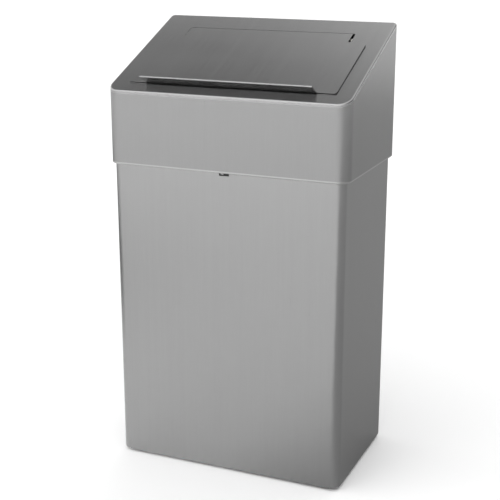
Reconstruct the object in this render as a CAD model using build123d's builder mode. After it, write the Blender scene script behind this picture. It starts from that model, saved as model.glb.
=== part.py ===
from build123d import *
import os
from math import atan2, cos, radians, sin

# Wall-hung waste bin folded from brushed stainless sheet, in millimetres.
# Frame: origin at the bottom centre of the bounding box, +Z up, the front looks along -Y.
# A box-shaped body stands on small feet or hangs on four wall screws. A hood with a sloped top
# drops over it, and a self-closing flap in the slope is lifted by its turned-up lip.

os.makedirs("parts", exist_ok=True)

# ---------------------------------------------------------------- driving sizes
hood_width = 335.0
hood_depth = 196.5
hood_front_height = 98.6
hood_rear_height = 181.3
hood_overlap = 41.0  # how far the hood's skirt reaches down over the body
body_height = 458.2  # from the folded bottom to the rim

sheet = 1.2  # body and hood
flap_sheet = 1.0
bracket_sheet = 1.5
inside_bend = 0.8  # inside radius of a fold

side_reveal = 5.1  # hood's outer face to body's outer face
front_reveal = 3.8
rear_reveal = 3.7
wall_gap = 0.8  # hood's back to the wall

body_corner = 11.5  # outside radius of the body's front corners
hood_corner = 16.5
rear_corner = 3.0  # body's rear corners
hood_rear_corner = 6.0
hood_edge = 2.2  # outside radius round the sloped top
seam = 0.1  # gap at a butt seam
fit = 0.3  # clearance between pieces laid one inside another
running = 0.05  # radial clearance of a turning fit

# Body folds
foot_flange = 18.0
rim_width = 11.0
rear_return = 15.0
relief = 1.0  # how far a flange stops short of the corner's curve
tray_lip = 12.0

# Wall screws
mount_spacing_x = 200.0
mount_spacing_z = 300.0
mount_rise = 83.0  # lower screws above the body's bottom
mount_hole = 3.5  # radius
spacer_radius = 11.0
spacer_edge = 0.6  # rounding of a spacer's outer rim

# Feet
foot_drop = 3.0  # feet below the folded bottom
foot_radius = 11.0
foot_inset = 34.0  # foot's centre in from the body's faces
screw_radius = 2.5
screw_head_radius = 4.5
screw_head_height = 1.6
nut_width = 8.0  # across the flats
nut_height = 4.0
drain_radius = 3.0
drain_spacing = 120.0

# Hood folds
skirt_side = 3.0  # width of the turned-in lower edge beyond the sheet
skirt_front = 1.6
skirt_rear = 1.4
top_band = 4.0  # height of the side band that belongs to the top plate
hood_return = 18.0
rail_height = 15.0
rail_reach = 8.0  # how far a seat rail reaches in over the rim
rail_inset = 24.0  # rail's ends in from the body's front and back
seat_gap = 0.1

# Flap, measured on the slope
flap_front = 22.0  # hood's front edge to flap
flap_side = 23.9  # hood's side to flap
flap_rear = 37.6  # opening's rear edge to the hood's rear edge
tail_gap = 4.0  # flap's rear edge to the opening's rear edge
tail_length = 22.5
tail_step = 25.4  # how much narrower the tail is on each side
tail_slit = 2.4  # slit beside the tail
flap_lap = 8.0  # how far the flap covers the hood round the opening
flap_gap = 0.8  # flap's underside above the hood's face
flap_corner = 3.0  # at the lip's end
flap_rear_corner = 5.5
opening_corner = 4.0
opening_rear_corner = 3.0
lip_length = 19.0
lip_angle = 50.0
lip_bend = 2.0  # inside radius
hem_length = 7.0
hem_gap = 0.1
open_angle = 80.0

# Flap hinge
rod_radius = 2.5
rod_chamfer = 0.5
axis_setback = 8.0  # hinge axis in front of the flap's rear edge
ear_radius = 7.0
ear_length = 15.0
bush_wall = 1.5
bush_flange = 1.0
bush_flange_step = 1.5  # flange beyond the bush
bush_length = 4.0
bracket_gap = 5.5  # ear's outer face to bracket
bracket_length = 22.0
bracket_height = 15.0
bracket_foot = 13.0
clip_thickness = 1.0
clip_radius = 4.5
clip_gap = 0.3
rod_end = 3.0  # rod beyond its clips
stop_reach = 11.0  # stop tab's middle from the axis
stop_size = 3.0
stop_gap = 0.3
stop_overlap = 2.0  # how far the tab reaches under the hood beyond the slit
arm_start = 0.45  # share of the way from the axis to the tab where the arm leaves the ear
stiffener_sheet = 0.8
stiffener_height = 8.0
stiffener_crown = 18.0
stiffener_foot = 8.0
stiffener_slant = 3.0
stiffener_end = 44.0  # stiffener's end in from the flap's side
buffer_width = 5.0
buffer_end = 26.0

# Bag frame
bag_wire = 2.5  # radius
bag_drop = 7.0  # wire's axis below the rim
bag_clear = 2.5  # wire to the rim's inner edge
bag_corner = 22.0
bag_rear_clear = 9.0  # wire's axis to the back panel
bag_bracket_x = 110.0
bag_bracket_size = 16.0
bag_eye_radius = 6.4
bag_arm_width = 11.2
bag_ledge_x = 90.0
bag_ledge_width = 20.0
bag_ledge_drop = 12.0

# Hood lock behind the body's front wall
lock_travel = 8.0
key_hole_width = 5.0
key_hole_height = 2.6
key_slot_height = 4.0
key_slot_drop = 3.7  # slot's lower edge below the hood's edge
lock_play = 0.2  # slider to its guide
hook_x = 12.0
hook_width = 6.0
hook_reach = 2.3  # hook beyond the body's face
hook_lift = 0.8  # hook above the hood's folded edge
hook_clear = 1.0
slider_end = 12.0  # slider beyond its hole and its hook
slider_below = 8.0
slider_above = 9.0
guide_foot = 7.0
guide_end = 3.0

# ---------------------------------------------------------------- places worked out from them
hood_half = hood_width / 2
body_half = hood_half - side_reveal
overall_depth = hood_depth + wall_gap
hood_front = -overall_depth / 2
hood_rear = hood_front + hood_depth
wall_plane = overall_depth / 2
body_front = hood_front + front_reveal
body_rear = hood_rear - rear_reveal
body_bottom = foot_drop
body_top = body_bottom + body_height
hood_bottom = body_top - hood_overlap
hood_front_top = hood_bottom + hood_front_height
hood_rear_top = hood_bottom + hood_rear_height
fold_outside = inside_bend + sheet
fold_middle = inside_bend + sheet / 2
cut = 1.0  # how far a cutter runs past the piece

slope = atan2(hood_rear_height - hood_front_height, hood_depth)
slope_length = hood_depth / cos(slope)
face = Plane(
    origin=(0, hood_front, hood_front_top),
    x_dir=(1, 0, 0),
    z_dir=(0, -sin(slope), cos(slope)),
)
# Seen from the side: x runs up the slope and y stands off the hood's face.
side_view = Plane(
    origin=(0, hood_front, hood_front_top),
    x_dir=(0, cos(slope), sin(slope)),
    z_dir=(1, 0, 0),
)

opening_rear = slope_length - flap_rear
tail_rear = opening_rear - tail_gap
shoulder = tail_rear - tail_length
axis_s = tail_rear - axis_setback
axis_depth = sheet + bracket_sheet + clip_radius + fit  # below the hood's face
flap_half = hood_half - flap_side
tail_half = flap_half - tail_step
ear_outside = tail_half
bracket_x = ear_outside + bracket_gap
rod_half = bracket_x + bracket_sheet + clip_gap + clip_thickness + rod_end
flap_middle = flap_gap + flap_sheet / 2  # mid-plane of the flap's sheet

bag_z = body_top - bag_drop
back_inner = body_rear - 2 * sheet
bag_rear_y = back_inner - bag_rear_clear
bag_front_y = body_front + rim_width + bag_clear + bag_wire
bag_half = body_half - rim_width - bag_clear - bag_wire

wall_inner = body_front + sheet
slider_front = wall_inner + lock_play
slider_back = slider_front + bracket_sheet
guide_inner = slider_back + lock_play
slider_low = hood_bottom - slider_below
slider_high = hood_bottom + slider_above
key_slot_width = key_hole_width + lock_travel + cut
slider_left = -key_slot_width / 2 - slider_end
slider_right = hook_x + hook_width + slider_end
hook_low = hood_bottom + sheet + hook_lift
hook_high = hook_low + bracket_sheet


# ---------------------------------------------------------------- shared shapes
def plan(height, half_width, front, rear, front_radius, rear_radius):
    """Rectangle in plan whose front and rear corners have their own radii."""
    with BuildSketch(Plane.XY.offset(height)) as outline:
        with Locations((0, (front + rear) / 2)):
            Rectangle(2 * half_width, rear - front)
        fillet(outline.vertices().group_by(Axis.Y)[0], radius=front_radius)
        fillet(outline.vertices().group_by(Axis.Y)[-1], radius=rear_radius)
    return outline.sketch


def body_plan(height, inset):
    """The body's outline, drawn in by an inset."""
    return plan(
        height,
        body_half - inset,
        body_front + inset,
        body_rear - inset,
        body_corner - inset,
        max(rear_corner - inset, inside_bend),
    )


def hood_plan(height, inset):
    """The hood's outline, drawn in by an inset."""
    return plan(
        height,
        hood_half - inset,
        hood_front + inset,
        hood_rear - inset,
        hood_corner - inset,
        hood_rear_corner - inset,
    )


def folded(plane, points, thickness, radius):
    """Section of a folded strip, from its middle line."""
    with BuildSketch(plane) as section:
        with BuildLine():
            FilletPolyline(*points, radius=radius)
        trace(line_width=thickness)
    return section.sketch


def outline_block(low, high, plane):
    """Rectangle on a plane from its low corner to its high corner."""
    with BuildSketch(plane) as block:
        with Locations(((low[0] + high[0]) / 2, (low[1] + high[1]) / 2)):
            Rectangle(high[0] - low[0], high[1] - low[1])
    return block.sketch


def save(part, name):
    """Label a finished piece and write it."""
    part.label = name
    export_step(part, f"parts/{name}.step")


# ---------------------------------------------------------------- body shell
wall_foot = body_bottom + fold_outside
front_strip_half = body_half - body_corner - relief
side_strip_front = body_front + body_corner + relief
side_strip_rear = body_rear - rear_corner - relief
side_strip_middle = (side_strip_front + side_strip_rear) / 2
side_strip_length = side_strip_rear - side_strip_front
strip_rise = 2 * fold_outside

front_foot_fold = folded(
    Plane.YZ,
    [
        (body_front + sheet / 2, body_bottom + strip_rise),
        (body_front + sheet / 2, body_bottom + sheet / 2),
        (body_front + foot_flange, body_bottom + sheet / 2),
    ],
    sheet,
    fold_middle,
)
side_foot_fold = folded(
    Plane.XZ.offset(-side_strip_middle),
    [
        (body_half - sheet / 2, body_bottom + strip_rise),
        (body_half - sheet / 2, body_bottom + sheet / 2),
        (body_half - foot_flange, body_bottom + sheet / 2),
    ],
    sheet,
    fold_middle,
)
key_slot = outline_block(
    (-key_slot_width / 2, hood_bottom - key_slot_drop),
    (key_slot_width / 2, hood_bottom - key_slot_drop + key_slot_height),
    Plane.XZ.offset(-wall_inner - cut),
)
hook_window = outline_block(
    (hook_x - hook_clear, hook_low - hook_lift),
    (hook_x + hook_width + lock_travel + hook_clear, hook_high + hook_lift),
    Plane.XZ.offset(-wall_inner - cut),
)

with BuildPart() as body_shell:
    # Walls, one sheet wrapped round the front and both sides, with returns at the back.
    extrude(body_plan(wall_foot, 0), amount=body_top - wall_foot)
    fillet(body_shell.faces().sort_by(Axis.Z)[-1].edges(), radius=fold_outside)
    extrude(body_plan(wall_foot, sheet), amount=body_top - sheet - wall_foot, mode=Mode.SUBTRACT)
    # The rim stays as a turned-in strip on three sides.
    with Locations((0, (body_front + rim_width + body_rear + cut) / 2, body_top)):
        Box(
            2 * (body_half - rim_width),
            body_rear + cut - body_front - rim_width,
            4 * sheet,
            mode=Mode.SUBTRACT,
        )
    # The back is open between the returns.
    with Locations((0, body_rear, (body_bottom + body_top) / 2)):
        Box(2 * (body_half - rear_return), 4 * sheet, body_height + 2 * cut, mode=Mode.SUBTRACT)
    # Folded-in bottom edges, which stop short of the round corners.
    extrude(front_foot_fold, amount=front_strip_half, both=True)
    right_strip = extrude(side_foot_fold, amount=side_strip_length / 2, both=True)
    mirror(right_strip, about=Plane.YZ)
    # Slot for the key, and the window that the lock's hook comes out of.
    extrude(key_slot, amount=sheet + 2 * cut, mode=Mode.SUBTRACT)
    extrude(hook_window, amount=sheet + 2 * cut, mode=Mode.SUBTRACT)
save(body_shell.part, "body_shell")


# ---------------------------------------------------------------- back panel and wall spacers
mount_middle = body_bottom + mount_rise + mount_spacing_z / 2
mount_plane = Plane(origin=(0, body_rear - sheet, mount_middle), x_dir=(1, 0, 0), z_dir=(0, -1, 0))
mount_points = GridLocations(mount_spacing_x, mount_spacing_z, 2, 2)
back_half = body_half - rear_corner

back_rim_fold = folded(
    Plane.YZ,
    [
        (body_rear - 1.5 * sheet, body_bottom + sheet + fit),
        (body_rear - 1.5 * sheet, body_top - sheet / 2),
        (back_inner - rim_width / 2, body_top - sheet / 2),
    ],
    sheet,
    fold_middle,
)
back_rim_half = body_half - rim_width - fit

with BuildPart() as back_panel:
    extrude(back_rim_fold, amount=back_half, both=True)
    # The turned-in rim fits between the rims of the sides.
    for side in (-1, 1):
        with Locations((side * (back_rim_half + back_half) / 2, body_rear - sheet - cut, body_top)):
            Box(back_half - back_rim_half, 2 * rim_width, 4 * fold_outside, mode=Mode.SUBTRACT)
    with BuildSketch(mount_plane) as wall_holes:
        with mount_points:
            Circle(mount_hole)
    extrude(amount=2 * sheet, both=True, mode=Mode.SUBTRACT)
save(back_panel.part, "back_panel")

with BuildPart() as wall_spacers:
    with BuildSketch(mount_plane) as spacer_rings:
        with mount_points:
            Circle(spacer_radius)
            Circle(mount_hole, mode=Mode.SUBTRACT)
    extrude(amount=-(wall_plane - body_rear + sheet))
    wall_side_rims = wall_spacers.edges().filter_by(GeomType.CIRCLE).group_by(Axis.Y)[-1]
    fillet(wall_side_rims.sort_by(SortBy.RADIUS)[-4:], radius=spacer_edge)
save(wall_spacers.part, "wall_spacers")

# ---------------------------------------------------------------- floor tray, feet and their screws
tray_bottom = body_bottom + sheet
tray_top = tray_bottom + sheet
tray_gap = sheet + fit
tray_corner = body_corner - tray_gap
tray_front = body_front + tray_gap
tray_rear = back_inner - fit
tray_half = body_half - tray_gap
feet_middle = (body_front + body_rear) / 2
feet_points = GridLocations(2 * (body_half - foot_inset), body_rear - body_front - 2 * foot_inset, 2, 2)
foot_height = tray_bottom
recess_depth = screw_head_height + fit

with BuildPart() as floor_tray:
    extrude(
        plan(tray_bottom, tray_half, tray_front, tray_rear, tray_corner, tray_corner),
        amount=tray_lip,
    )
    fillet(floor_tray.faces().sort_by(Axis.Z)[0].edges(), radius=fold_outside)
    extrude(
        plan(
            tray_top,
            tray_half - sheet,
            tray_front + sheet,
            tray_rear - sheet,
            tray_corner - sheet,
            tray_corner - sheet,
        ),
        amount=tray_lip,
        mode=Mode.SUBTRACT,
    )
    with BuildSketch(Plane((0, feet_middle, tray_bottom))) as floor_holes:
        with feet_points:
            Circle(screw_radius + fit / 2)
        with GridLocations(drain_spacing, drain_spacing / 2, 2, 2):
            Circle(drain_radius)
        Circle(drain_radius)
    extrude(amount=2 * sheet, both=True, mode=Mode.SUBTRACT)
save(floor_tray.part, "floor_tray")

with BuildPart() as rubber_feet:
    with BuildSketch(Plane((0, feet_middle, 0))) as foot_rings:
        with feet_points:
            Circle(foot_radius)
            Circle(screw_radius + fit / 2, mode=Mode.SUBTRACT)
    extrude(amount=foot_height)
    with BuildSketch(Plane((0, feet_middle, 0))) as recesses:
        with feet_points:
            Circle(screw_head_radius + fit)
    extrude(amount=recess_depth, mode=Mode.SUBTRACT)
save(rubber_feet.part, "rubber_feet")

with BuildPart() as foot_screws:
    with BuildSketch(Plane((0, feet_middle, recess_depth))) as screw_heads:
        with feet_points:
            Circle(screw_head_radius)
    extrude(amount=-screw_head_height)
    with BuildSketch(Plane((0, feet_middle, recess_depth))) as screw_shanks:
        with feet_points:
            Circle(screw_radius)
    extrude(amount=tray_top + nut_height + cut - recess_depth)
save(foot_screws.part, "foot_screws")

with BuildPart() as foot_nuts:
    with BuildSketch(Plane((0, feet_middle, tray_top))) as nut_rings:
        with feet_points:
            RegularPolygon(nut_width / 2, 6, major_radius=False)
            Circle(screw_radius + running, mode=Mode.SUBTRACT)
    extrude(amount=nut_height)
save(foot_nuts.part, "foot_nuts")

# ---------------------------------------------------------------- bag frame and what holds it
bag_plane = Plane.XY.offset(bag_z)

with BuildPart() as bag_frame:
    with BuildLine(bag_plane) as bag_path:
        FilletPolyline(
            (bag_half, bag_rear_y),
            (bag_half, bag_front_y),
            (-bag_half, bag_front_y),
            (-bag_half, bag_rear_y),
            radius=bag_corner,
            close=True,
        )
    with BuildSketch(Plane(origin=bag_path.line @ 0, z_dir=bag_path.line % 0)) as wire:
        Circle(bag_wire)
    sweep()
save(bag_frame.part, "bag_frame")

bag_plate_left = bag_bracket_x - bag_bracket_size / 2
bag_plate_z = bag_z - bag_bracket_size / 2
arm_middle_z = bag_z - bag_eye_radius + bag_arm_width / 2

with BuildPart() as bag_bracket_right:
    eye_side = Plane.YZ.offset(bag_bracket_x)
    with BuildSketch(eye_side) as eye:
        with Locations((bag_rear_y, bag_z)):
            Circle(bag_eye_radius)
        with Locations(((bag_rear_y + back_inner) / 2, arm_middle_z)):
            Rectangle(back_inner - bag_rear_y, bag_arm_width)
        with Locations((bag_rear_y, bag_z)):
            Circle(bag_wire + running, mode=Mode.SUBTRACT)
    extrude(amount=bracket_sheet)
    with Locations((bag_plate_left, back_inner - bracket_sheet / 2, bag_plate_z)):
        Box(bag_bracket_size + 2 * bracket_sheet, bracket_sheet, bag_bracket_size)
save(bag_bracket_right.part, "bag_bracket_right")

with BuildPart() as bag_bracket_left:
    mirror(bag_bracket_right.part, about=Plane.YZ)
save(bag_bracket_left.part, "bag_bracket_left")

ledge_top = bag_z - bag_wire - fit
ledge_fold = folded(
    Plane.YZ.offset(bag_ledge_x - bag_ledge_width / 2),
    [
        (wall_inner + bracket_sheet / 2, ledge_top - bag_ledge_drop),
        (wall_inner + bracket_sheet / 2, ledge_top - bracket_sheet / 2),
        (bag_front_y + 2 * bag_wire, ledge_top - bracket_sheet / 2),
    ],
    bracket_sheet,
    inside_bend + bracket_sheet / 2,
)

with BuildPart() as bag_ledges:
    right_ledge = extrude(ledge_fold, amount=bag_ledge_width)
    mirror(right_ledge, about=Plane.YZ)
save(bag_ledges.part, "bag_ledges")

# ---------------------------------------------------------------- hood lock
guide_left = slider_left - guide_end
guide_right = slider_right + lock_travel + guide_end
guide_section = [
    (wall_inner + sheet / 2, slider_low - lock_play - sheet - guide_foot),
    (wall_inner + sheet / 2, slider_low - lock_play - sheet / 2),
    (guide_inner + sheet / 2, slider_low - lock_play - sheet / 2),
    (guide_inner + sheet / 2, slider_high + lock_play + sheet / 2),
    (wall_inner + sheet / 2, slider_high + lock_play + sheet / 2),
    (wall_inner + sheet / 2, slider_high + lock_play + sheet + guide_foot),
]

with BuildPart() as lock_guide:
    with BuildSketch(Plane.YZ.offset(guide_left)) as channel:
        with BuildLine():
            Polyline(*guide_section)
        trace(line_width=sheet)
    extrude(amount=guide_right - guide_left)
save(lock_guide.part, "lock_guide")

with BuildPart() as lock_slider:
    with BuildSketch(Plane.XZ.offset(-slider_back)) as slider_outline:
        with Locations(((slider_left + slider_right) / 2, (slider_low + slider_high) / 2)):
            Rectangle(slider_right - slider_left, slider_high - slider_low)
        fillet(slider_outline.vertices(), radius=bracket_sheet)
    extrude(amount=bracket_sheet)
    with Locations(
        (hook_x + hook_width / 2, (body_front - hook_reach + slider_back) / 2, (hook_low + hook_high) / 2)
    ):
        Box(hook_width, slider_back - body_front + hook_reach, hook_high - hook_low)
    with BuildSketch(Plane.XZ.offset(-slider_back)) as key_hole:
        with Locations((-lock_travel / 2, hood_bottom - key_slot_drop + key_slot_height / 2)):
            Rectangle(key_hole_width, key_hole_height)
    extrude(amount=2 * bracket_sheet, both=True, mode=Mode.SUBTRACT)
save(lock_slider.part, "lock_slider")

# ---------------------------------------------------------------- hood
def hood_block(inset):
    """Solid of the hood, drawn in by an inset on every face, with its rounded edges."""
    edge = hood_edge - inset
    fold = fold_outside - inset
    with BuildPart() as block:
        extrude(hood_plan(hood_bottom + inset, inset), amount=hood_rear_height + cut)
        split(bisect_by=face.offset(-inset), keep=Keep.BOTTOM)
        fillet(block.faces().sort_by(Axis.Z)[-1].edges(), radius=edge)
        fillet(block.faces().sort_by(Axis.Z)[0].edges(), radius=fold)
    return block.part


mouth = plan(
    hood_bottom - cut,
    hood_half - sheet - skirt_side,
    hood_front + sheet + skirt_front,
    hood_rear - sheet - skirt_rear,
    hood_corner - sheet - skirt_side,
    inside_bend,
)
return_half = hood_half - hood_return
band_plane = face.offset(-top_band)
tall = hood_rear_height + 2 * cut

with BuildPart() as hood_sheet:
    add(hood_block(0))
    add(hood_block(sheet), mode=Mode.SUBTRACT)
    extrude(mouth, amount=fold_outside + cut, mode=Mode.SUBTRACT)

with BuildPart() as hood_wrap:
    add(hood_sheet.part)
    split(bisect_by=band_plane, keep=Keep.BOTTOM)
    # The back is open between the returns.
    with Locations((0, hood_rear, hood_bottom + hood_rear_height / 2)):
        Box(2 * return_half, 2 * hood_return, tall, mode=Mode.SUBTRACT)
    # Notch in the folded lower edge that lets the lock's hook past when it is unlocked.
    with Locations((hook_x + hook_width / 2, hood_front + sheet, hood_bottom)):
        Box(
            hook_width + 2 * hook_clear,
            skirt_front + cut,
            2 * fold_outside,
            align=(Align.CENTER, Align.MIN, Align.CENTER),
            mode=Mode.SUBTRACT,
        )
save(hood_wrap.part, "hood_wrap")

with BuildPart() as hood_back:
    add(hood_sheet.part)
    split(bisect_by=band_plane, keep=Keep.BOTTOM)
    with Locations((0, hood_rear, hood_bottom + hood_rear_height / 2)):
        Box(2 * (return_half - seam), hood_return, tall, mode=Mode.INTERSECT)
save(hood_back.part, "hood_back")

opening_half = flap_half - flap_lap
slit_half = tail_half + tail_slit

with BuildPart() as hood_top:
    add(hood_sheet.part)
    split(bisect_by=band_plane, keep=Keep.TOP)
    with BuildSketch(face.offset(-top_band)) as opening:
        with Locations((0, (flap_front + flap_lap + shoulder - flap_lap) / 2)):
            Rectangle(2 * opening_half, shoulder - flap_front - 2 * flap_lap)
        with Locations((0, (shoulder - flap_lap + opening_rear) / 2 - opening_corner)):
            Rectangle(2 * slit_half, opening_rear - shoulder + flap_lap + 2 * opening_corner)
        fillet(opening.vertices().group_by(Axis.Y)[0], radius=opening_corner)
        fillet(opening.vertices().group_by(Axis.Y)[-1], radius=opening_rear_corner)
    extrude(amount=2 * top_band, mode=Mode.SUBTRACT)
save(hood_top.part, "hood_top")


# Seat rails, folded strips inside the hood's sides that rest on the body's rim.
rail_length = body_rear - body_front - 2 * rail_inset
rail_middle_y = (body_front + body_rear) / 2
rail_fold = folded(
    Plane.XZ.offset(-rail_middle_y),
    [
        (hood_half - 1.5 * sheet, body_top + rail_height),
        (hood_half - 1.5 * sheet, body_top + seat_gap + sheet / 2),
        (body_half - rail_reach, body_top + seat_gap + sheet / 2),
    ],
    sheet,
    fold_middle,
)

with BuildPart() as seat_rail_right:
    extrude(rail_fold, amount=rail_length / 2, both=True)
save(seat_rail_right.part, "seat_rail_right")

with BuildPart() as seat_rail_left:
    mirror(seat_rail_right.part, about=Plane.YZ)
save(seat_rail_left.part, "seat_rail_left")

# ---------------------------------------------------------------- flap hinge
axis_point = (axis_s, -axis_depth)
bracket_top = -sheet
hinge_section = [
    (bracket_x + bracket_sheet / 2, bracket_top - bracket_height),
    (bracket_x + bracket_sheet / 2, bracket_top - bracket_sheet / 2),
    (bracket_x + bracket_foot, bracket_top - bracket_sheet / 2),
]
bracket_end_view = Plane(
    origin=side_view.from_local_coords((axis_s, 0, 0)),
    x_dir=(1, 0, 0),
    z_dir=-side_view.x_dir,
)
axis_side = side_view.offset(bracket_x)

with BuildPart() as hinge_bracket_right:
    extrude(
        folded(bracket_end_view, hinge_section, bracket_sheet, inside_bend + bracket_sheet / 2),
        amount=bracket_length / 2,
        both=True,
    )
    with BuildSketch(axis_side) as rod_hole:
        with Locations(axis_point):
            Circle(rod_radius + running)
    extrude(amount=bracket_sheet * 2, both=True, mode=Mode.SUBTRACT)
save(hinge_bracket_right.part, "hinge_bracket_right")

with BuildPart() as hinge_bracket_left:
    mirror(hinge_bracket_right.part, about=Plane.YZ)
save(hinge_bracket_left.part, "hinge_bracket_left")

with BuildPart() as hinge_rod:
    with BuildSketch(side_view) as rod_circle:
        with Locations(axis_point):
            Circle(rod_radius)
    extrude(amount=rod_half, both=True)
    chamfer(hinge_rod.edges().filter_by(GeomType.CIRCLE), length=rod_chamfer)
save(hinge_rod.part, "hinge_rod")

with BuildPart() as rod_clips:
    with BuildSketch(side_view.offset(bracket_x + bracket_sheet + clip_gap)) as clip_ring:
        with Locations(axis_point):
            Circle(clip_radius)
            Circle(rod_radius + running, mode=Mode.SUBTRACT)
    right_clip = extrude(amount=clip_thickness)
    mirror(right_clip, about=Plane.YZ)
save(rod_clips.part, "rod_clips")

# Rubber strip on the hood that the flap's front edge closes on.
with BuildPart() as flap_buffer:
    with BuildSketch(face) as buffer_outline:
        with Locations((0, flap_front + buffer_width / 2 + inside_bend)):
            Rectangle(2 * (flap_half - buffer_end), buffer_width)
    extrude(amount=flap_gap - running)
save(flap_buffer.part, "flap_buffer")

# ---------------------------------------------------------------- flap
bush_radius = rod_radius + running + bush_wall
lip_rise = radians(lip_angle)
lip_start = (flap_front, flap_middle)
lip_tip = (flap_front - lip_length * cos(lip_rise), flap_middle + lip_length * sin(lip_rise))
hem_offset = flap_sheet + hem_gap
hem_middle = hem_offset / 2
lip_normal = (sin(lip_rise), cos(lip_rise))
hem_start = (lip_tip[0] + lip_normal[0] * hem_offset, lip_tip[1] + lip_normal[1] * hem_offset)
hem_crest = (
    lip_tip[0] + hem_middle * (lip_normal[0] - cos(lip_rise)),
    lip_tip[1] + hem_middle * (lip_normal[1] + sin(lip_rise)),
)
hem_end = (hem_start[0] + hem_length * cos(lip_rise), hem_start[1] - hem_length * sin(lip_rise))


def stop_centre():
    """Middle of the stop tab when the flap is shut, turned back from where it meets the hood."""
    turn = radians(open_angle)
    along = -stop_reach
    up = axis_depth - sheet - stop_gap - flap_sheet / 2
    return (axis_s + along * cos(turn) - up * sin(turn), -axis_depth + along * sin(turn) + up * cos(turn))


stop_point = stop_centre()
# The arm leaves the ear's round end on the line from the axis to the tab.
stop_root = (
    axis_point[0] + (stop_point[0] - axis_point[0]) * arm_start,
    axis_point[1] + (stop_point[1] - axis_point[1]) * arm_start,
)

with BuildPart() as flap_panel:
    with BuildSketch(face.offset(flap_gap)) as flap_outline:
        with Locations((0, (flap_front + shoulder) / 2)):
            Rectangle(2 * flap_half, shoulder - flap_front)
        fillet(flap_outline.vertices().group_by(Axis.Y)[0], radius=flap_corner)
        fillet(flap_outline.vertices().group_by(Axis.Y)[-1], radius=flap_rear_corner)
        with Locations((0, (shoulder + tail_rear) / 2 - flap_rear_corner)):
            Rectangle(2 * tail_half, tail_rear - shoulder + 2 * flap_rear_corner)
    extrude(amount=flap_sheet)
    # The front edge is cut back over the lip's width and folded up into the lip.
    lip_root = flap_front + 2 * lip_bend
    with BuildSketch(side_view) as lip_gap:
        with Locations((flap_front, flap_middle)):
            Rectangle(4 * lip_bend, 2 * flap_sheet)
    extrude(amount=tail_half, both=True, mode=Mode.SUBTRACT)
    with BuildSketch(side_view) as lip_section:
        with BuildLine():
            lip_line = FilletPolyline(
                (lip_root, flap_middle),
                lip_start,
                lip_tip,
                radius=lip_bend + flap_sheet / 2,
            )
        trace(line_width=flap_sheet)
    extrude(amount=tail_half, both=True)
    # Hem, the sheet's edge folded flat onto the back of the lip.
    with BuildSketch(side_view) as hem_section:
        with BuildLine():
            ThreePointArc(lip_tip, hem_crest, hem_start)
            Line(hem_start, hem_end)
        trace(line_width=flap_sheet)
    extrude(amount=tail_half, both=True)
    # Ears folded down at the tail's sides, with an arm to the stop tab.
    with BuildSketch(side_view.offset(tail_half - flap_sheet)) as ear:
        with Locations((tail_rear - ear_length / 2 - fit, flap_gap - axis_depth / 2)):
            Rectangle(ear_length, axis_depth + 2 * flap_gap)
        with Locations(axis_point):
            Circle(ear_radius)
        make_hull()
    right_ear = extrude(amount=flap_sheet)
    mirror(right_ear, about=Plane.YZ)
    # Stop tabs, bent outwards from the ears, meet the hood's underside when the flap is open.
    with BuildSketch(side_view.offset(tail_half - flap_sheet)) as stop_arm:
        with Locations(stop_point):
            Rectangle(stop_size, flap_sheet, rotation=open_angle)
        with Locations(stop_root):
            Rectangle(stop_size, flap_sheet, rotation=open_angle)
        make_hull()
    right_arm = extrude(amount=flap_sheet)
    mirror(right_arm, about=Plane.YZ)
    with BuildSketch(side_view.offset(tail_half - flap_sheet)) as stop_tab:
        with Locations(stop_point):
            Rectangle(stop_size, flap_sheet, rotation=open_angle)
    right_tab = extrude(amount=flap_sheet + tail_slit + stop_overlap)
    mirror(right_tab, about=Plane.YZ)
    # Holes for the bushes.
    with BuildSketch(side_view) as bush_hole:
        with Locations(axis_point):
            Circle(bush_radius + running)
    extrude(amount=tail_half + cut, both=True, mode=Mode.SUBTRACT)
save(flap_panel.part, "flap_panel")

with BuildPart() as bush_right:
    with BuildSketch(side_view.offset(tail_half + bush_flange)) as flange_ring:
        with Locations(axis_point):
            Circle(bush_radius + bush_flange_step)
            Circle(rod_radius + running, mode=Mode.SUBTRACT)
    extrude(amount=-bush_flange)
    with BuildSketch(side_view.offset(tail_half)) as sleeve_ring:
        with Locations(axis_point):
            Circle(bush_radius)
            Circle(rod_radius + running, mode=Mode.SUBTRACT)
    extrude(amount=-bush_length)
save(bush_right.part, "bush_right")

with BuildPart() as bush_left:
    mirror(bush_right.part, about=Plane.YZ)
save(bush_left.part, "bush_left")

stiffener_s = (flap_front + shoulder) / 2
stiffener_low = flap_gap - stiffener_height + stiffener_sheet / 2
stiffener_high = flap_gap - stiffener_sheet / 2
crown_half = stiffener_crown / 2
slant_half = crown_half + stiffener_slant
foot_half = slant_half + stiffener_foot

with BuildPart() as flap_stiffener:
    with BuildSketch(side_view) as hat:
        with BuildLine():
            Polyline(
                (stiffener_s - foot_half, stiffener_high),
                (stiffener_s - slant_half, stiffener_high),
                (stiffener_s - crown_half, stiffener_low),
                (stiffener_s + crown_half, stiffener_low),
                (stiffener_s + slant_half, stiffener_high),
                (stiffener_s + foot_half, stiffener_high),
            )
        trace(line_width=stiffener_sheet)
    extrude(amount=flap_half - stiffener_end, both=True)
save(flap_stiffener.part, "flap_stiffener")
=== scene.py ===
"""Looks of a wall-hung stainless waste bin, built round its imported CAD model.

Metres, in the CAD frame: origin under the feet, +Z up, the front looks along -Y.
"""

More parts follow.
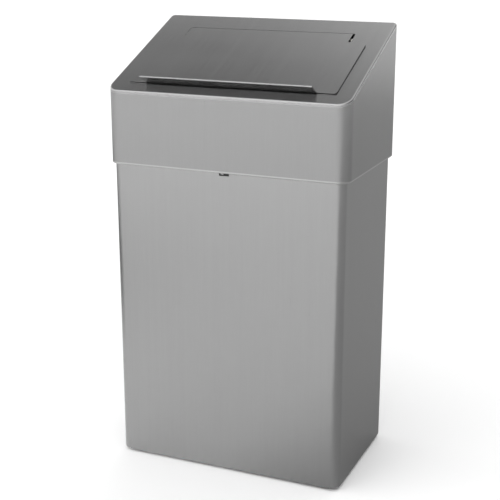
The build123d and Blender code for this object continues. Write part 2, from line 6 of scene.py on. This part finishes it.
import bmesh
import bpy
from math import cos, pi, radians, sin
from mathutils import Euler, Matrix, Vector


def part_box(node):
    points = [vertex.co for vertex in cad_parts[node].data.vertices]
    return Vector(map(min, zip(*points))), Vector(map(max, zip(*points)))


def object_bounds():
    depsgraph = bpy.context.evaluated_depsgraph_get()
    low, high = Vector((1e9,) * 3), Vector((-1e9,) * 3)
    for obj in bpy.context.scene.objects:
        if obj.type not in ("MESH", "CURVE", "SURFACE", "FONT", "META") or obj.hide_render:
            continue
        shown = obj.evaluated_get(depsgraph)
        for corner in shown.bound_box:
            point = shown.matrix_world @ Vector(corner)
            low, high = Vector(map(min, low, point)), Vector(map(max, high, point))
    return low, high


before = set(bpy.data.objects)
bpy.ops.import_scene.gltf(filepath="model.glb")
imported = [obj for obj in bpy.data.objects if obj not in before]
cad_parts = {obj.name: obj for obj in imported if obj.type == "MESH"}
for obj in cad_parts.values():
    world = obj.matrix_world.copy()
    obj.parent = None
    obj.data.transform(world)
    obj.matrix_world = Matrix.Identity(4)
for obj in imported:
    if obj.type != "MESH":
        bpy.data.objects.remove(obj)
cad_low, cad_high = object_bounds()
scene = bpy.context.scene

# ---------------------------------------------------------------- camera
CAMERA_AZIMUTH = 23.26  # degrees to the right of the front
CAMERA_ELEVATION = 16.42  # degrees above level
CAMERA_DISTANCE = 1.45
CAMERA_AIM = (0.032, -0.0849, 0.0188)  # from the middle of the bin's box
CAMERA_LENS = 80.2  # mm
CAMERA_SENSOR = 36.0  # mm


def make_camera():
    """Camera to the right of the front, looking slightly down."""
    azimuth, elevation = radians(CAMERA_AZIMUTH), radians(CAMERA_ELEVATION)
    back = Vector((sin(azimuth) * cos(elevation), -cos(azimuth) * cos(elevation), sin(elevation)))
    aim = (cad_low + cad_high) / 2 + Vector(CAMERA_AIM)
    data = bpy.data.cameras.new("camera")
    data.sensor_width = CAMERA_SENSOR
    data.lens = CAMERA_LENS
    camera = bpy.data.objects.new("camera", data)
    camera.rotation_euler = Euler((pi / 2 - elevation, 0.0, azimuth), "XYZ")
    camera.location = aim + back * CAMERA_DISTANCE
    scene.collection.objects.link(camera)
    scene.camera = camera


make_camera()


# ---------------------------------------------------------------- node helpers
def new_material(name):
    """New node material, with its node tree and its shader."""
    material = bpy.data.materials.new(name)
    material.use_nodes = True
    tree = material.node_tree
    return material, tree, tree.nodes["Principled BSDF"]


def node(tree, kind, **settings):
    """A node with its properties set."""
    made = tree.nodes.new(kind)
    for key, value in settings.items():
        setattr(made, key, value)
    return made


def stretched_noise(tree, scale, detail):
    """Noise on object coordinates stretched by its own scale on each axis."""
    place = node(tree, "ShaderNodeTexCoord")
    mapping = node(tree, "ShaderNodeMapping")
    mapping.inputs["Scale"].default_value = scale
    noise = node(tree, "ShaderNodeTexNoise")
    noise.inputs["Scale"].default_value = 1.0
    noise.inputs["Detail"].default_value = detail
    noise.inputs["Roughness"].default_value = 0.5
    tree.links.new(place.outputs["Object"], mapping.inputs["Vector"])
    tree.links.new(mapping.outputs["Vector"], noise.inputs["Vector"])
    return noise.outputs["Fac"]


def spread(tree, value, low, high, start=0.3, end=0.7, **settings):
    """Map a value that runs from start to end, as most noise does by default, to another range."""
    ramp = node(tree, "ShaderNodeMapRange", clamp=True, **settings)
    ramp.inputs["From Min"].default_value = start
    ramp.inputs["From Max"].default_value = end
    ramp.inputs["To Min"].default_value = low
    ramp.inputs["To Max"].default_value = high
    tree.links.new(value, ramp.inputs["Value"])
    return ramp.outputs["Result"]


def colour_mix(tree, value, dark, light):
    """Colour between two others."""
    mix = node(tree, "ShaderNodeMix", data_type="RGBA")
    mix.inputs["A"].default_value = (*dark, 1.0)
    mix.inputs["B"].default_value = (*light, 1.0)
    tree.links.new(value, mix.inputs["Factor"])
    return mix.outputs["Result"]


def maths(tree, operation, first, second):
    """Two values joined by a maths node."""
    made = node(tree, "ShaderNodeMath", operation=operation)
    for socket, value in zip(made.inputs, (first, second)):
        if isinstance(value, float):
            socket.default_value = value
        else:
            tree.links.new(value, socket)
    return made.outputs["Value"]


def blended(tree, first, second, share):
    """Two values added, the first with a share and the second with the rest."""
    first_part = maths(tree, "MULTIPLY", first, share)
    return maths(tree, "ADD", first_part, maths(tree, "MULTIPLY", second, 1.0 - share))


def add_bump(tree, shader, height, strength, distance):
    """Fine relief on a shader."""
    bump = node(tree, "ShaderNodeBump")
    bump.inputs["Strength"].default_value = strength
    bump.inputs["Distance"].default_value = distance
    tree.links.new(height, bump.inputs["Height"])
    tree.links.new(bump.outputs["Normal"], shader.inputs["Normal"])


# ---------------------------------------------------------------- materials
STEEL_GREY = 0.33
HOOD_GREY = 0.29
INNER_GREY = 0.5
STEEL_ROUGH = 0.3
TOP_ROUGH = 0.22
INNER_ROUGH = 0.4
BRUSHED = 0.5  # anisotropy of brushed sheet
TONE_SPAN = 0.035  # share of its grey that brushed sheet gets lighter and darker by
COARSER = 9  # how much wider the coarse streaks are than the fine ones
WALL_GRAIN = (1500.0, 1500.0, 25.0)
TOP_GRAIN = (1500.0, 25.0, 25.0)
NO_GRAIN = (300.0, 300.0, 300.0)
CLOUD = (7.0, 7.0, 5.0)
# Painted highlight along the hood's lower bend: where it is full, where it is gone, and how much lighter it
# makes the steel.
FOLD_HIGHLIGHT_FULL = 0.0022  # above the hood's lower edge, where a painted highlight lightens its bend
FOLD_HIGHLIGHT_GONE = 0.0032
FOLD_HIGHLIGHT_GAIN = 0.6


def painted_fold_highlight(tree, colour, edge):
    """Colour lightened just above an edge at a given height: a painted highlight along the bend."""
    place = node(tree, "ShaderNodeTexCoord")
    axes = node(tree, "ShaderNodeSeparateXYZ")
    tree.links.new(place.outputs["Object"], axes.inputs["Vector"])
    near = spread(tree, axes.outputs["Z"], 1.0, 0.0, start=edge + FOLD_HIGHLIGHT_FULL, end=edge + FOLD_HIGHLIGHT_GONE)
    lift = maths(tree, "ADD", maths(tree, "MULTIPLY", near, FOLD_HIGHLIGHT_GAIN), 1.0)
    scaled = node(tree, "ShaderNodeVectorMath", operation="SCALE")
    tree.links.new(colour, scaled.inputs[0])
    tree.links.new(lift, scaled.inputs["Scale"])
    return scaled.outputs["Vector"]


def brushed_steel(name, grain, grey=STEEL_GREY, rough=STEEL_ROUGH, aniso=BRUSHED, axis="Z", highlight_edge=None):
    """Brushed sheet with its highlights stretched round an axis.

    grain is the noise scale along X, Y and Z, low along the brushing. The last argument is the height of a
    lower edge whose bend gets a painted highlight.
    """
    material, tree, shader = new_material(name)
    fine = stretched_noise(tree, grain, 3.0)
    coarse = stretched_noise(tree, [value / COARSER for value in grain], 2.0)
    cloud = stretched_noise(tree, CLOUD, 3.0)
    streak = blended(tree, fine, coarse, 0.6)
    tone = blended(tree, streak, cloud, 0.75)
    dark = [grey * (1 - TONE_SPAN)] * 3
    light = [grey * (1 + TONE_SPAN)] * 3
    colour = colour_mix(tree, spread(tree, tone, 0.0, 1.0), dark, light)
    # Painted highlight along a lower bend, where one is given.
    if highlight_edge is not None:
        colour = painted_fold_highlight(tree, colour, highlight_edge)
    tree.links.new(colour, shader.inputs["Base Color"])
    tree.links.new(spread(tree, tone, rough * 0.9, rough * 1.12), shader.inputs["Roughness"])
    shader.inputs["Metallic"].default_value = 1.0
    shader.inputs["Anisotropic"].default_value = aniso
    tangent = node(tree, "ShaderNodeTangent", direction_type="RADIAL", axis=axis)
    tree.links.new(tangent.outputs["Tangent"], shader.inputs["Tangent"])
    add_bump(tree, shader, streak, 0.06, 0.0002)
    return material


def plain_surface(name, colour, rough, grain, metallic=0.0, bump=0.2):
    """Rubber, nylon or plated steel with an even mottle. grain is its noise scale."""
    material, tree, shader = new_material(name)
    mottle = stretched_noise(tree, (grain, grain, grain), 4.0)
    dark = [value * 0.85 for value in colour]
    light = [value * 1.1 for value in colour]
    tree.links.new(colour_mix(tree, spread(tree, mottle, 0.0, 1.0), dark, light), shader.inputs["Base Color"])
    tree.links.new(spread(tree, mottle, rough * 0.85, rough * 1.15), shader.inputs["Roughness"])
    shader.inputs["Metallic"].default_value = metallic
    add_bump(tree, shader, mottle, bump, 0.0003)
    return material


hood_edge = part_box("hood_wrap")[0].z
wall_steel = brushed_steel("brushed_wall", WALL_GRAIN)
# The hood's steel gets a painted highlight along its lower bend.
hood_steel = brushed_steel("brushed_hood", WALL_GRAIN, grey=HOOD_GREY, highlight_edge=hood_edge)
top_steel = brushed_steel("brushed_top", TOP_GRAIN, rough=TOP_ROUGH, axis="Y")
inner_steel = brushed_steel("plain_inner", NO_GRAIN, grey=INNER_GREY, rough=INNER_ROUGH, aniso=0.0)
zinc = plain_surface("zinc_plate", (0.55, 0.56, 0.54), 0.42, 900.0, metallic=1.0)
black_nylon = plain_surface("black_nylon", (0.012, 0.012, 0.012), 0.6, 900.0, bump=0.1)
rubber = plain_surface("black_rubber", (0.022, 0.022, 0.022), 0.75, 1200.0)
nylon = plain_surface("natural_nylon", (0.72, 0.71, 0.66), 0.5, 700.0, bump=0.1)

LOOKS = {
    "body_shell": wall_steel,
    "back_panel": wall_steel,
    "hood_wrap": hood_steel,
    "hood_back": hood_steel,
    "hood_top": top_steel,
    "flap_panel": top_steel,
    "wall_spacers": nylon,
    "bush_right": nylon,
    "bush_left": nylon,
    "rubber_feet": rubber,
    "flap_buffer": rubber,
    "foot_screws": zinc,
    "foot_nuts": zinc,
    "rod_clips": zinc,
    "lock_slider": black_nylon,
}


def dress_nodes():
    """Give every CAD node its material; the ones with no look of their own are inner steel."""
    for name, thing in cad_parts.items():
        thing.data.materials.clear()
        thing.data.materials.append(LOOKS.get(name, inner_steel))


dress_nodes()

# ---------------------------------------------------------------- floor and light
FLOOR_SIZE = 30.0
FLOOR_GREY = 0.97
# Cards: name, height, grey, place, half sizes, turn in degrees, and where the soft edge starts, as a
# share of the way out.
CARDS = (
    ("right_card", 0.002, 0.42, (1.73, 0.85), (1.95, 3.4), 10.6, 0.88),
    ("left_card", 0.003, 0.2, (-1.75, 0.6), (0.7, 2.0), 36.0, 0.6),
)
WORLD_STRENGTH = 1.6
# Darker stretches of the studio: direction, inner and outer angle in degrees, and what is left there.
OVERHEAD = ((-0.45, 0.30, 0.84), 8.0, 29.0, 0.05)
RIGHT_SIDE = ((1.0, 0.25, 0.2), 20.0, 80.0, 0.3)
KEY_PLACE = (-1.45, -3.6, 1.6)
KEY_SIZE = 1.2
KEY_POWER = 20.0  # W


def matt_paper(name, grey):
    """Matt paper of one grey, with its node tree and its shader."""
    material, tree, shader = new_material(name)
    shader.inputs["Base Color"].default_value = (grey, grey, grey, 1.0)
    shader.inputs["Roughness"].default_value = 0.9
    shader.inputs["Specular IOR Level"].default_value = 0.1
    return material, tree, shader


def flat_stage(name, height, material):
    """Large level sheet of the studio, which isn't part of the object."""
    mesh = bmesh.new()
    bmesh.ops.create_grid(mesh, x_segments=1, y_segments=1, size=FLOOR_SIZE)
    data = bpy.data.meshes.new(name)
    mesh.to_mesh(data)
    mesh.free()
    data.materials.append(material)
    sheet = bpy.data.objects.new(name, data)
    sheet.location.z = height
    scene.collection.objects.link(sheet)
    return sheet


def soft_ellipse(tree, place, size, turn, inner):
    """Value that is 1 inside a soft-edged ellipse on a level sheet and 0 outside it."""
    coordinates = node(tree, "ShaderNodeTexCoord")
    mapping = node(tree, "ShaderNodeMapping", vector_type="TEXTURE")
    mapping.inputs["Location"].default_value = (*place, 0.0)
    mapping.inputs["Rotation"].default_value = (0.0, 0.0, radians(turn))
    mapping.inputs["Scale"].default_value = (*size, 1.0)
    tree.links.new(coordinates.outputs["Object"], mapping.inputs["Vector"])
    reach = node(tree, "ShaderNodeVectorMath", operation="LENGTH")
    tree.links.new(mapping.outputs["Vector"], reach.inputs[0])
    return spread(tree, reach.outputs["Value"], 1.0, 0.0, start=inner, end=1.0)


def make_card(name, height, grey, place, size, turn, inner):
    """Soft-edged grey card lying on the floor, seen only as the sheet metal mirrors it."""
    material, tree, shader = matt_paper(name, grey)
    tree.links.new(soft_ellipse(tree, place, size, turn, inner), shader.inputs["Alpha"])
    card = flat_stage(name, height, material)
    card.visible_camera = False
    card.visible_diffuse = False
    card.visible_transmission = False
    card.visible_shadow = False


def studio_shade(tree, aim, inner, outer, left):
    """Value that is left within the inner angle of a direction, and 1 beyond the outer."""
    place = node(tree, "ShaderNodeTexCoord")
    dot = node(tree, "ShaderNodeVectorMath", operation="DOT_PRODUCT")
    dot.inputs[1].default_value = Vector(aim).normalized()
    tree.links.new(place.outputs["Generated"], dot.inputs[0])
    start, end = cos(radians(outer)), cos(radians(inner))
    return spread(tree, dot.outputs["Value"], 1.0, left, start, end, interpolation_type="SMOOTHSTEP")


def make_world():
    """White studio, darker overhead behind the object and on its right."""
    world = bpy.data.worlds.new("studio")
    world.use_nodes = True
    scene.world = world
    tree = world.node_tree
    background = tree.nodes["Background"]
    shade = maths(tree, "MULTIPLY", studio_shade(tree, *OVERHEAD), studio_shade(tree, *RIGHT_SIDE))
    tree.links.new(maths(tree, "MULTIPLY", shade, WORLD_STRENGTH), background.inputs["Strength"])
    background.inputs["Color"].default_value = (1.0, 1.0, 1.0, 1.0)


def make_key():
    """Square softbox in front of the object on its left, facing straight down."""
    data = bpy.data.lights.new("key_softbox", "AREA")
    data.shape = "SQUARE"
    data.size = KEY_SIZE
    data.energy = KEY_POWER
    light = bpy.data.objects.new("key_softbox", data)
    light.location = KEY_PLACE
    scene.collection.objects.link(light)


flat_stage("floor", 0.0, matt_paper("pale_floor", FLOOR_GREY)[0])
for card_facts in CARDS:
    make_card(*card_facts)
make_world()
make_key()
scene.view_settings.view_transform = "Standard"
